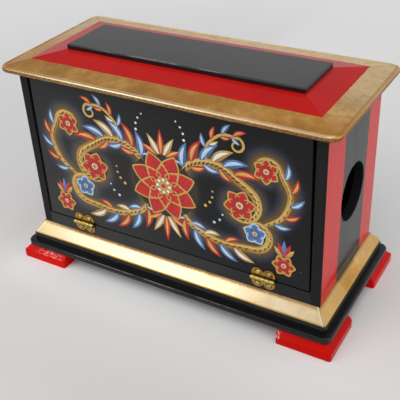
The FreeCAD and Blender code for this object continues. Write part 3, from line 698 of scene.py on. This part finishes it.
def dots(colour, centres, radius, tone=0.8, layer="dot", crown=0.22, onto=on_door):
    """Drops of enamel: discs whose height falls as crown * (1 - r^2)."""
    ring = np.linspace(0.0, 2 * math.pi, 25)
    r = np.linspace(1.0, 0.02, 4)
    for centre, size in zip(np.asarray(centres, float), np.broadcast_to(radius, len(centres))):
        x = centre[0] + size * np.outer(r, np.cos(ring))
        z = centre[1] + size * np.outer(r, np.sin(ring))
        rise = LIFT[layer] + crown * (1 - r ** 2)[:, None] * np.ones_like(x)
        grid = onto(x, z, rise)[::-1]
        strokes.setdefault(colour, []).append((grid, np.full(x.shape, tone)))


def spiral(centre, start, turns, way, inner=0.16, count=60):
    """Scroll from start round centre: the radius closes in to inner of its first length as t^0.85."""
    t = np.linspace(0.0, 1.0, count)
    arm = np.asarray(start, float) - centre
    angle = math.degrees(math.atan2(arm[1], arm[0])) + way * 360 * turns * t
    radius = np.hypot(*arm) * (1 - (1 - inner) * t ** 0.85)
    return np.asarray(centre, float) + radius[:, None] * unit(angle)


vines = []


def mirrored(points, hand):
    return np.asarray(points, float) * (hand, 1.0)


def vine(points, centre, turns, way, hand, full):
    """Stem through the points that ends in a scroll: a wide gold stroke with a pale inner line."""
    count = 130
    stem = curve_through(points, 40)
    curl = spiral(centre, stem[-1], turns, way)
    path = mirrored(curve_through(np.vstack([stem, curl[2:]])[::3], count), hand)
    vines.append(path)
    waves = 0.35 + 0.25 * np.sin(np.linspace(0, 14, count))
    brush("gold", path, taper(count, full, 0.55, 0.12, 0.35), "fill", waves, 0.09, 7)
    brush("gold", path + (0, 0.16 * full), taper(count, 0.24 * full, 0.3, 0.1, 0.35), "over", 0.95, 0.06)
    return path


def sprays(path, hand, stations, colours, length, width, lean, bend):
    """Row of comma leaves that leave a vine on one side, each a dark leaf with a lighter one inside."""
    way = np.gradient(path, axis=0)
    for index, (body, heart) in zip(stations, colours):
        heading = math.degrees(math.atan2(way[index, 1], way[index, 0])) + hand * lean
        root = path[index]
        inside = root + 0.12 * length * unit(heading)
        comma(body, root, heading, length, width, hand * bend, "fill", (0.15, 0.55))
        comma(heart, inside, heading, 0.72 * length, 0.42 * width, hand * bend, "over", (0.5, 0.95))


def blossom(centre, reach, count, colour, rim, turn, rings=1):
    """Open flower: rings of petals, each ring shorter and lighter, round a dotted heart."""
    centre = np.asarray(centre, float)
    dots("umber", [centre], 0.94 * reach, 0.1, "bed", 0.0)
    for ring in range(rings):
        size = reach * (1.0 - 0.36 * ring)
        for k in range(count):
            heading = turn + 360.0 * (k + 0.5 * ring) / count
            root = centre + 0.16 * size * unit(heading)
            tones = (0.1 + 0.25 * ring, 0.6 + 0.2 * ring)
            petal(colour, root, heading, 0.84 * size, 4.6 * size / count, rim, tones, 0.10 + 0.05 * ring)
    core = 0.24 * reach
    brush("gold", centre + core * 0.5 * unit(np.linspace(0, 360, 26)), core, "line", 0.45, 0.2)
    dots("white", centre + core * 0.72 * unit(np.linspace(0, 360, 9)[:-1]), 0.055 * reach)
    dots("red", [centre], 0.09 * reach, 0.4)


def cord_marks(path, full, count):
    """Short umber strokes that lean across a stem, like the lay of a rope."""
    way = np.gradient(path, axis=0)
    for index in np.linspace(4, 0.62 * len(path), count).astype(int):
        along = way[index] / np.linalg.norm(way[index])
        across = np.array([-along[1], along[0]])
        ends = path[index] + np.linspace(-0.34, 0.30, 7)[:, None] * full * (0.75 * across + 0.9 * along)
        brush("umber", ends, taper(7, 0.20 * full, 0.2, 0.1), "over", 0.5, 0.05)


# Layout in millimetres: x from the door's middle line, z above the floor. Hand 1 is the right half and
# hand -1 the left half. Each leaf colour is a dark leaf and the lighter one inside it.
BLUE = ("blue", "sky")
ROUGE = ("red", "gold")
PALE = ("gold", "white")
FLOWER_Z = 120.0
UPPER_WIDTH = 8.4
LOWER_WIDTH = 7.2
OUTER_WIDTH = 5.6
for hand in (1, -1):
    upper = vine([(12, 133), (32, 151), (56, 154), (79, 141)], (75, 121), 1.30, -1, hand, UPPER_WIDTH)
    lower = vine([(10, 106), (28, 86), (54, 77), (84, 79)], (89, 97), 1.05, 1, hand, LOWER_WIDTH)
    outer = vine([(98, 107), (114, 120), (121, 141), (113, 160)], (99, 160), 1.05, 1, hand, OUTER_WIDTH)
    cord_marks(upper, UPPER_WIDTH, 26)
    cord_marks(lower, LOWER_WIDTH, 22)
    cord_marks(outer, OUTER_WIDTH, 16)
    sprays(upper, hand, (9, 16, 23, 30, 37, 44), (BLUE, ROUGE, BLUE, PALE, BLUE, ROUGE), 27, 8.2, 60, -50)
    sprays(upper, hand, (13, 24, 35), (ROUGE, BLUE, ROUGE), 19, 6.4, -58, 60)
    sprays(lower, hand, (11, 19, 27, 35, 43), (ROUGE, BLUE, ROUGE, BLUE, PALE), 25, 7.6, -60, 52)
    sprays(lower, hand, (15, 25, 38), (BLUE, PALE, ROUGE), 18, 6.0, 56, -56)
    sprays(outer, hand, (8, 18, 28, 38, 48), (BLUE, ROUGE, BLUE, ROUGE, BLUE), 17, 5.6, -64, 56)
    blossom((hand * 75, 121), 15.0, 6, "red", "gold", 12)
    blossom((hand * 89, 96.5), 10.5, 5, "blue", "sky", 90)
    blossom((hand * 99.5, 160), 11.5, 6, "red", "gold", 30)
    blossom((hand * 116, 72), 10.5, 6, "red", "gold", 0)
    stem = curve_through([(44, 158), (46, 172), (60, 184), (76, 184)], 40)
    curl = spiral((73, 177), (76, 184), 1.1, -1, 0.2, 40)
    tendril = mirrored(np.vstack([stem, curl[1:]]), hand)
    brush("gold", tendril, taper(len(tendril), 2.6, 0.5, 0.4, 0.3), "fill", 0.7)
    sprays(tendril, hand, (10, 18, 26, 34), (BLUE, ROUGE, BLUE, ROUGE), 14, 4.8, 52, -44)
    sprays(tendril, hand, (14, 24, 33), (PALE, ROUGE, BLUE), 11, 4.0, -54, 50)
    for k, colour in enumerate(("gold", "red", "blue", "red", "gold")):
        heading = 90 + hand * (56 - 28 * k)
        length = 17 - abs(k - 2) * 2.0
        bend = hand * 12 * (k - 2)
        comma(colour, (hand * 116, 81), heading, length, 4.6, bend, "fill", (0.25, 0.85))
    drops = [(24, 171), (23.5, 177), (21, 182.5), (17, 187)]
    dots("white", mirrored(drops, hand), (1.3, 1.15, 1.0, 0.85))
    dots("sky", mirrored([(50, 97), (55.5, 101), (58.5, 107)], hand), (1.4, 1.2, 1.0))
    beads = [(42, 112), (46.5, 116.5), (49, 122), (49.5, 128)]
    dots("gold", mirrored(beads, hand), (1.6, 1.4, 1.2, 1.0), 0.7)

for k, (body, heart) in enumerate((BLUE, ROUGE, PALE, ROUGE, PALE, ROUGE, BLUE)):
    off = k - 3
    for root, way_out, reach in ((94.0, -1, 33 - 3.2 * abs(off)), (146.0, 1, 30 - 2.8 * abs(off))):
        heading = way_out * (90 - 25 * off)
        bend = way_out * -10 * off
        inside = np.array([0, root]) + 6 * unit(heading)
        comma(body, (0, root), heading, reach, 7.0, bend, "fill", (0.2, 0.8))
        comma(heart, inside, heading, 0.66 * reach, 2.6, bend, "over", (0.5, 1.0))
blossom((0, FLOWER_Z), 34.0, 8, "red", "gold", 22.5, 3)


def enamel(name, dark, light, rough):
    """Brush enamel: tone attribute from dark to light, streaked by the bristles."""
    material, tree, shader, spot = tree_of(name)
    tone = tree.nodes.new("ShaderNodeAttribute")
    tone.attribute_name = "tone"
    streak = noise(tree, spot, 900.0, 4.0, 0.6)
    bristle = times(tree, minus(tree, streak, 0.5), 0.5)
    share = plus(tree, tone.outputs["Fac"], bristle, True)
    gloss = between(tree, streak, 0.3, 0.7, rough - 0.06, rough + 0.06)
    dress(shader, Base_Color=mixed(tree, share, dark, light), Roughness=gloss,
          Normal=bumped(tree, streak, 0.12, 0.08 * MM))
    return material


ENAMELS = {
    "gold": enamel("gold enamel", (0.30, 0.145, 0.020), (0.76, 0.50, 0.130), 0.36),
    "red": enamel("red enamel", (0.36, 0.006, 0.006), (0.70, 0.018, 0.014), 0.30),
    "blue": enamel("blue enamel", (0.030, 0.085, 0.26), (0.13, 0.29, 0.56), 0.32),
    "sky": enamel("light blue enamel", (0.22, 0.38, 0.58), (0.62, 0.76, 0.88), 0.34),
    "white": enamel("white enamel", (0.62, 0.62, 0.62), (0.90, 0.90, 0.88), 0.34),
    "rose": enamel("rose enamel", (0.66, 0.25, 0.17), (0.74, 0.34, 0.24), 0.42),
    "umber": enamel("umber enamel", (0.020, 0.010, 0.006), (0.055, 0.024, 0.010), 0.34),
}


def added(name, data):
    """A new scene object."""
    thing = bpy.data.objects.new(name, data)
    bpy.context.collection.objects.link(thing)
    return thing


def new_piece(name, grids, tones, material, body, round_way=False):
    """One mesh of many grids of quads, with the tone of each point as an attribute; round_way joins
    the last column to the first."""
    verts, faces, shades, base = [], [], [], 0
    for grid, tone in zip(grids, tones):
        n, m = grid.shape[:2]
        k = base + np.arange(n * m).reshape(n, m)
        k = np.hstack([k, k[:, :1]]) if round_way else k
        faces.append(np.stack([k[:-1, :-1], k[1:, :-1], k[1:, 1:], k[:-1, 1:]], -1).reshape(-1, 4))
        verts.append(grid.reshape(-1, 3))
        shades.append(np.asarray(tone, float).reshape(-1))
        base += n * m
    mesh = bpy.data.meshes.new(name)
    mesh.from_pydata(np.vstack(verts).tolist(), [], np.vstack(faces).tolist())
    mesh.attributes.new("tone", "FLOAT", "POINT").data.foreach_set("value", np.concatenate(shades))
    mesh.polygons.foreach_set("use_smooth", np.ones(len(mesh.polygons), bool))
    mesh.materials.append(material)
    piece = added(name, mesh)
    if body:
        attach(piece, body)
    return piece


door_strokes, strokes = strokes, {}
for colour, laid in door_strokes.items():
    grids, tones = zip(*laid)
    new_piece("door_paint_" + colour, grids, tones, ENAMELS[colour], "door")

COOL_SPRAY = (0.05, 0.12, 0.26)
WARM_SPRAY = (0.46, 0.27, 0.07)


def door_ground():
    """Lacquer skin of the door's front: a fine grid, narrower at the top, with two sprayed glows.

    With d the distance to the nearest vine point and r that to the large flower's middle, in mm,
    warm = 0.75 exp(-(d / 6.5)^2) + 0.5 exp(-((r - 27) / 6)^2) and cool = 0.5 exp(-((d - 8.5) / 4)^2)."""
    margin, half_foot, half_top = 1.2, door_high.x / MM, 138.0
    z = np.linspace(door_low.z / MM + margin, door_high.z / MM - margin, 150)
    share = (z - z[0]) / (z[-1] - z[0])
    half = (half_foot - margin) + (half_top - half_foot) * share
    u = np.linspace(-1.0, 1.0, 280)
    gx = half[None, :] * u[:, None]
    gz = np.broadcast_to(z[None, :], gx.shape)
    points = np.vstack(vines)[::3]
    spot = np.stack([gx, gz], -1).reshape(-1, 1, 2)
    parts = np.array_split(spot, 24)
    near = np.concatenate([np.sqrt(((part - points[None]) ** 2).sum(-1)).min(1) for part in parts])
    heart = np.hypot(gx, gz - FLOWER_Z).reshape(-1)
    warm = np.exp(-(near / 6.5) ** 2) * 0.75 + np.exp(-((heart - 27.0) / 6.0) ** 2) * 0.5
    warm = np.clip(warm, 0, 1)
    cool = np.exp(-((near - 8.5) / 4.0) ** 2) * 0.5
    grid = on_door(gx, gz, np.full_like(gx, 0.02))
    skin = new_piece("door_front_lacquer", [grid], [warm], door_skin(), "door")
    skin.data.attributes.new("cool", "FLOAT", "POINT").data.foreach_set("value", cool)


def door_skin():
    """The boards' black lacquer with the two sprayed glows over it, painted reflection in grey that fades
    towards the right and the top, and a few scuffs by the lower right corner."""
    material = black_flat.copy()
    material.name = "sprayed black lacquer"
    tree, shader, under, spot = reopened(material)
    x, _, z = axes_of(tree, spot)
    grain = noise(tree, spot, 2600.0, 2.0, 0.5)
    for attribute, colour, strength in (("cool", COOL_SPRAY, 0.38), ("tone", WARM_SPRAY, 0.62)):
        read = tree.nodes.new("ShaderNodeAttribute")
        read.attribute_name = attribute
        dense = between(tree, grain, 0.25, 0.75, 0.4 * strength, 1.3 * strength)
        mist = calc(tree, "MULTIPLY", read.outputs["Fac"], dense, True)
        under = mixed(tree, mist, under, colour)
    # Painted reflection: grey strongest at the lower left of the door, fading to the right and the top
    grey_lift = between(tree, x, -130 * MM, 100 * MM, 0.055, 0.0)
    grey_lift = times(tree, grey_lift, between(tree, z, 60 * MM, 190 * MM, 1.0, 0.55))
    under = mixed(tree, grey_lift, under, PALE_GREY)
    scuff = between(tree, noise(tree, spot, 520.0, 2.0), 0.72, 0.75)
    scuff = times(tree, scuff, between(tree, x, 112 * MM, 122 * MM))
    scuff = times(tree, scuff, between(tree, z, 80 * MM, 95 * MM, 1.0, 0.0))
    feed(tree, shader.inputs["Base Color"], mixed(tree, scuff, under, SCUFF))
    return material


door_ground()

# Painted face of the figure, in degrees east and north of the nose.
for hand in (1, -1):
    eye, pupil, cheek = (hand * 21, 9), (hand * 20.4, 8.6), (hand * 37, -14)
    gleam = (hand * 20.4 + 1.3, 10.2)
    dots("white", [eye], 6.2, 0.9, "fill", 0.05, on_head)
    dots("umber", [pupil], 3.6, 0.0, "over", 0.08, on_head)
    dots("white", [gleam], 1.0, 1.0, "line", 0.05, on_head)
    dots("rose", [cheek], 8.0, 0.5, "fill", 0.04, on_head)
    brow = curve_through([(hand * 13, 17.2), (hand * 21, 19.2), (hand * 29, 17.0)][::hand], 20)
    brush("umber", brow, taper(20, 1.9, 0.3, 0.3), "over", 0.2, 0.06, onto=on_head)
smile = curve_through([(-25, -20), (-13, -28), (0, -30.5), (13, -28), (25, -20)], 40)
brush("red", smile, taper(40, 3.4, 0.35, 0.35), "over", 0.35, 0.08, onto=on_head)
for colour, laid in strokes.items():
    grids, tones = zip(*laid)
    new_piece("face_paint_" + colour, grids, tones, ENAMELS[colour], "jack")


def spring_wire():
    """Coil of round wire in the place of the solid spring: seven turns, closer wound at both ends.

    Height at share u of the length is u - close sin(2 pi u) / (2 pi) of the free rise. The section is
    flatter along z by squeeze, so that it is rounder when the coil is drawn out. The wire's thickness
    falls to nothing over its last few stations, so that both ends are closed."""
    low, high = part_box("jack_spring")
    wire = 1.25 * MM
    squeeze, close = 0.72, 0.45
    turns, count, around = 7, 561, 12
    u = np.linspace(0.0, 1.0, count)
    mean = (high.x - low.x) / 2 - wire
    rise = high.z - low.z - 2 * wire
    angle = 2 * math.pi * turns * u
    height = low.z + wire + rise * (u - close * np.sin(2 * math.pi * u) / (2 * math.pi))
    thick = np.sqrt(np.clip(1 - np.abs(2 * u - 1) ** 400, 0.0, 1.0))
    phi = np.linspace(0.0, 2 * math.pi, around, endpoint=False)
    out = mean + wire * thick[:, None] * np.cos(phi)
    middle = ((low.x + high.x) / 2, (low.y + high.y) / 2)
    grid = np.stack([middle[0] + out * np.cos(angle)[:, None], middle[1] + out * np.sin(angle)[:, None],
                     height[:, None] - squeeze * wire * thick[:, None] * np.sin(phi)], -1)
    coil = new_piece("spring_coil", [grid], [np.full(grid.shape[:2], 0.5)], steel, None, True)
    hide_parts("jack_spring")
    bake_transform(coil)


spring_wire()


# Stage
PALE_ROOM = 0.70
FLOOR_HALF, FLOOR_DROP = 12.0, 0.2 * MM
# Floor tones: painted shade at the sides and in the foreground, painted light along the box's front
FLOOR_SHADE_LEFT = (0.722, 0.720, 0.724)
FLOOR_MIDDLE = (0.800, 0.796, 0.792)
FLOOR_SHADE_RIGHT = (0.735, 0.733, 0.731)
FLOOR_LIT_BY_BOX = (0.880, 0.876, 0.874)
FLOOR_FORE_SHADE_LEFT = (0.690, 0.685, 0.680)
FLOOR_FORE_SHADE_RIGHT = (0.605, 0.603, 0.600)


def floor_sheet():
    """Pale studio floor, a flat square grid that fades into the pale room for the camera far out.

    Its colour carries painted shade, greyer at the left, at the right and in the foreground, and painted
    light, paler along the box's front where the box's shadow falls."""
    span = np.linspace(-FLOOR_HALF, FLOOR_HALF, 3)
    gx, gy = np.meshgrid(span, span, indexing="ij")
    verts = np.stack([gx, gy, np.full_like(gx, -FLOOR_DROP)], -1).reshape(-1, 3)
    faces = [(0, 3, 4, 1), (1, 4, 5, 2), (3, 6, 7, 4), (4, 7, 8, 5)]
    mesh = bpy.data.meshes.new("floor")
    mesh.from_pydata(verts.tolist(), [], faces)
    floor = added("floor", mesh)
    material, tree, shader, spot = tree_of("studio floor")
    x, y, _ = axes_of(tree, spot)
    wander = times(tree, noise(tree, spot, 6.0, 2.0), 60 * MM)
    from_left = between(tree, plus(tree, x, wander), -340 * MM, 60 * MM)
    colour = mixed(tree, from_left, FLOOR_SHADE_LEFT, FLOOR_MIDDLE)
    on_right = between(tree, x, 140 * MM, 260 * MM)
    lit_by_box = window(tree, x, (-210 * MM, -150 * MM), (-60 * MM, 120 * MM))
    lit_by_box = times(tree, lit_by_box, between(tree, y, -140 * MM, -95 * MM))
    fore_shade = between(tree, y, -210 * MM, -90 * MM, 1.0, 0.0)
    fore = mixed(tree, between(tree, x, -150 * MM, 200 * MM), FLOOR_FORE_SHADE_LEFT, FLOOR_FORE_SHADE_RIGHT)
    colour = layered(tree, colour, (on_right, FLOOR_SHADE_RIGHT), (lit_by_box, FLOOR_LIT_BY_BOX), (fore_shade, fore))
    dress(shader, Base_Color=colour, Roughness=0.75)
    room = tree.nodes.new("ShaderNodeEmission")
    feed(tree, room.inputs["Color"], (PALE_ROOM, PALE_ROOM, PALE_ROOM))
    far = between(tree, length_of(tree, x, y), 280 * MM, 950 * MM)
    share = times(tree, far, tree.nodes.new("ShaderNodeLightPath").outputs["Is Camera Ray"])
    blend = tree.nodes.new("ShaderNodeMixShader")
    feed(tree, blend.inputs[0], share)
    tree.links.new(shader.outputs[0], blend.inputs[1])
    tree.links.new(room.outputs[0], blend.inputs[2])
    out = next(n for n in tree.nodes if n.type == "OUTPUT_MATERIAL")
    tree.links.new(blend.outputs[0], out.inputs[0])
    mesh.materials.append(material)


floor_sheet()

# Room: one brightness for diffuse light, one for reflections and a plain one for the camera
world = bpy.data.worlds.new("studio")
bpy.context.scene.world = world
world.use_nodes = True
sky = world.node_tree
sky.nodes.clear()
back = sky.nodes.new("ShaderNodeBackground")
sky.links.new(back.outputs[0], sky.nodes.new("ShaderNodeOutputWorld").inputs[0])
side, depth, lift = axes_of(sky, sky.nodes.new("ShaderNodeTexCoord").outputs["Generated"])
behind = between(sky, depth, -0.75, 0.15, 0.30, 0.78)
level = between(sky, lift, 0.15, 0.75, 1.0, 0.66)
bright_side = between(sky, side, -0.2, 1.0, 1.0, 1.45)
dip_left = between(sky, side, -0.85, -0.66, 1.0, 0.86)
dip_right = between(sky, side, -0.62, -0.36, 0.86, 1.05)
mirrored_room = times(sky, behind, level, bright_side, largest(sky, dip_left, dip_right))
sideways = between(sky, side, -1.0, 1.0, 0.84, 1.10)
soft_room = times(sky, sideways, between(sky, depth, -0.8, 0.8, 0.74, 0.26))
ray = sky.nodes.new("ShaderNodeLightPath").outputs
shiny = largest(sky, ray["Is Glossy Ray"], ray["Is Transmission Ray"])
room = plus(sky, soft_room, times(sky, shiny, minus(sky, mirrored_room, soft_room)))
room = plus(sky, room, times(sky, ray["Is Camera Ray"], minus(sky, PALE_ROOM, room)))
feed(sky, back.inputs[1], room)
feed(sky, back.inputs[0], (1.0, 1.0, 1.0))


def stand(thing, right, up, back, spot):
    """Puts a lamp or a camera at spot, turned to these axes."""
    turn = np.eye(4)
    turn[:3] = np.stack([right, up, back, spot], 1)
    thing.matrix_world = Matrix(turn.tolist())


def soft_lamp(name, spot, aim, width, height, power):
    """Rectangular studio lamp at spot, facing aim."""
    light = bpy.data.lights.new(name, "AREA")
    light.shape = "RECTANGLE"
    light.size = width
    light.size_y = height
    light.energy = power
    away = np.array(spot, float) - np.array(aim, float)
    away /= np.linalg.norm(away)
    side = np.cross((0.0, 0.0, 1.0), away)
    side /= np.linalg.norm(side)
    stand(added(name, light), side, np.cross(away, side), away, spot)


soft_lamp("front left softbox", (-0.70, -1.00, 0.96), (0, -0.05, 0.06), 0.86, 0.86, 4.6)
soft_lamp("front fill", (0.42, -1.25, 1.95), (0, -0.1, 0.05), 1.4, 1.0, 8.5)
soft_lamp("overhead softbox", (0.15, 0.0, 2.10), (0, 0, 0.1), 1.9, 1.7, 7.5)
soft_lamp("right softbox", (1.75, -0.15, 0.95), (0, 0, 0.1), 1.1, 1.1, 6.0)


def photo_camera():
    """Camera at the photograph's place: yaw, pitch and roll in degrees, place in millimetres and focal
    length in pixels of a 400 pixel frame."""
    spot = np.array([324.31, -527.92, 468.47])
    focal, frame_width, sensor = 758.16, 400.0, 36.0
    yaw, pitch, roll = (math.radians(a) for a in (31.69, -32.78, -3.08))
    ahead = np.array([-math.sin(yaw) * math.cos(pitch), math.cos(yaw) * math.cos(pitch), math.sin(pitch)])
    level = np.array([math.cos(yaw), math.sin(yaw), 0.0])
    rise = np.cross(level, ahead)
    right = math.cos(roll) * level + math.sin(roll) * rise
    up = -math.sin(roll) * level + math.cos(roll) * rise
    data = bpy.data.cameras.new("photo camera")
    data.sensor_width = sensor
    data.lens = focal * sensor / frame_width
    data.clip_start = 0.01
    camera = added("photo camera", data)
    stand(camera, right, up, -ahead, spot * MM)
    bpy.context.scene.camera = camera


photo_camera()
bpy.context.scene.view_settings.view_transform = "Standard"
